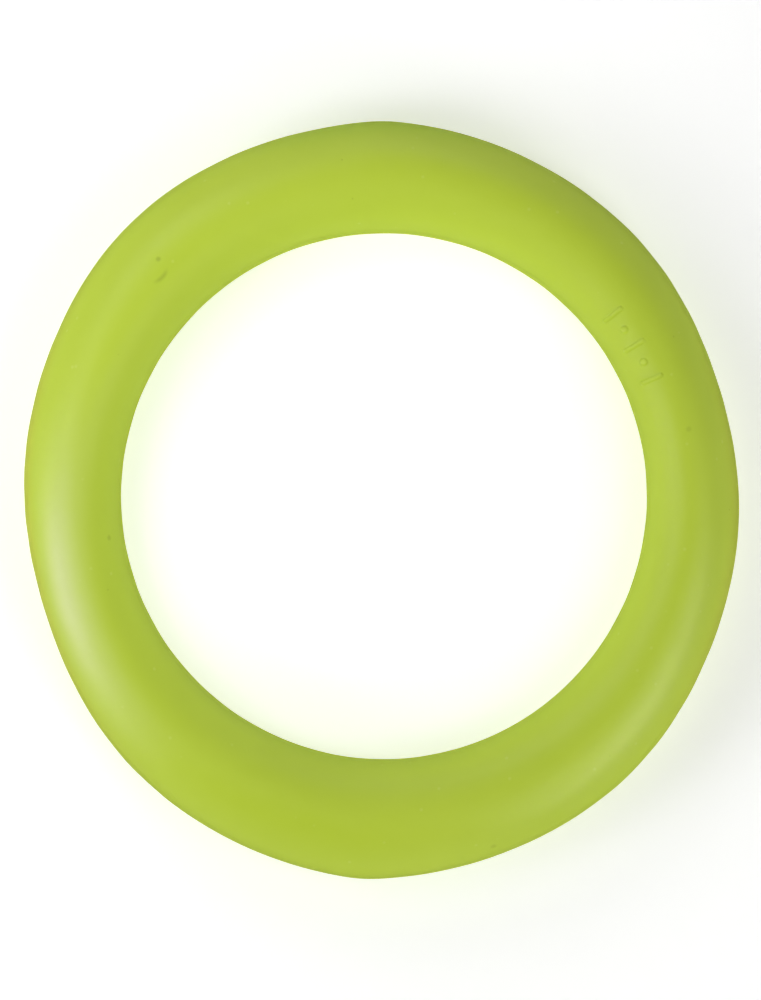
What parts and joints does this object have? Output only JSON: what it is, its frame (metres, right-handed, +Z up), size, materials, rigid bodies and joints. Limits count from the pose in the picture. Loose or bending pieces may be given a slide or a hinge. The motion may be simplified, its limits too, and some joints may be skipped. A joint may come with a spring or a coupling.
{
  "type": "flying ring",
  "caption": "Soft moulded rubber flying ring with a sponge-rubber core, for tossing, catching and ring-tennis games.",
  "frame": {"origin": "centre of the round hole, on the mould's parting plane, half way up the ring", "axes": "+Z up through the hole, out of the half that carries the raised mark; +Y along the rim's longest extent, towards one of the two broadest stretches of the ring"},
  "size_m": [0.1732, 0.1828, 0.0255],
  "materials": {
    "lime_rubber": "satin",
    "sponge_rubber": "matte",
    "rubber_cement": "matte"
  },
  "bodies": {
    "root": {"upper_cover": "lime_rubber", "lower_cover": "lime_rubber", "sponge_core": "sponge_rubber", "core_splice": "rubber_cement"}
  },
  "joints": []
}
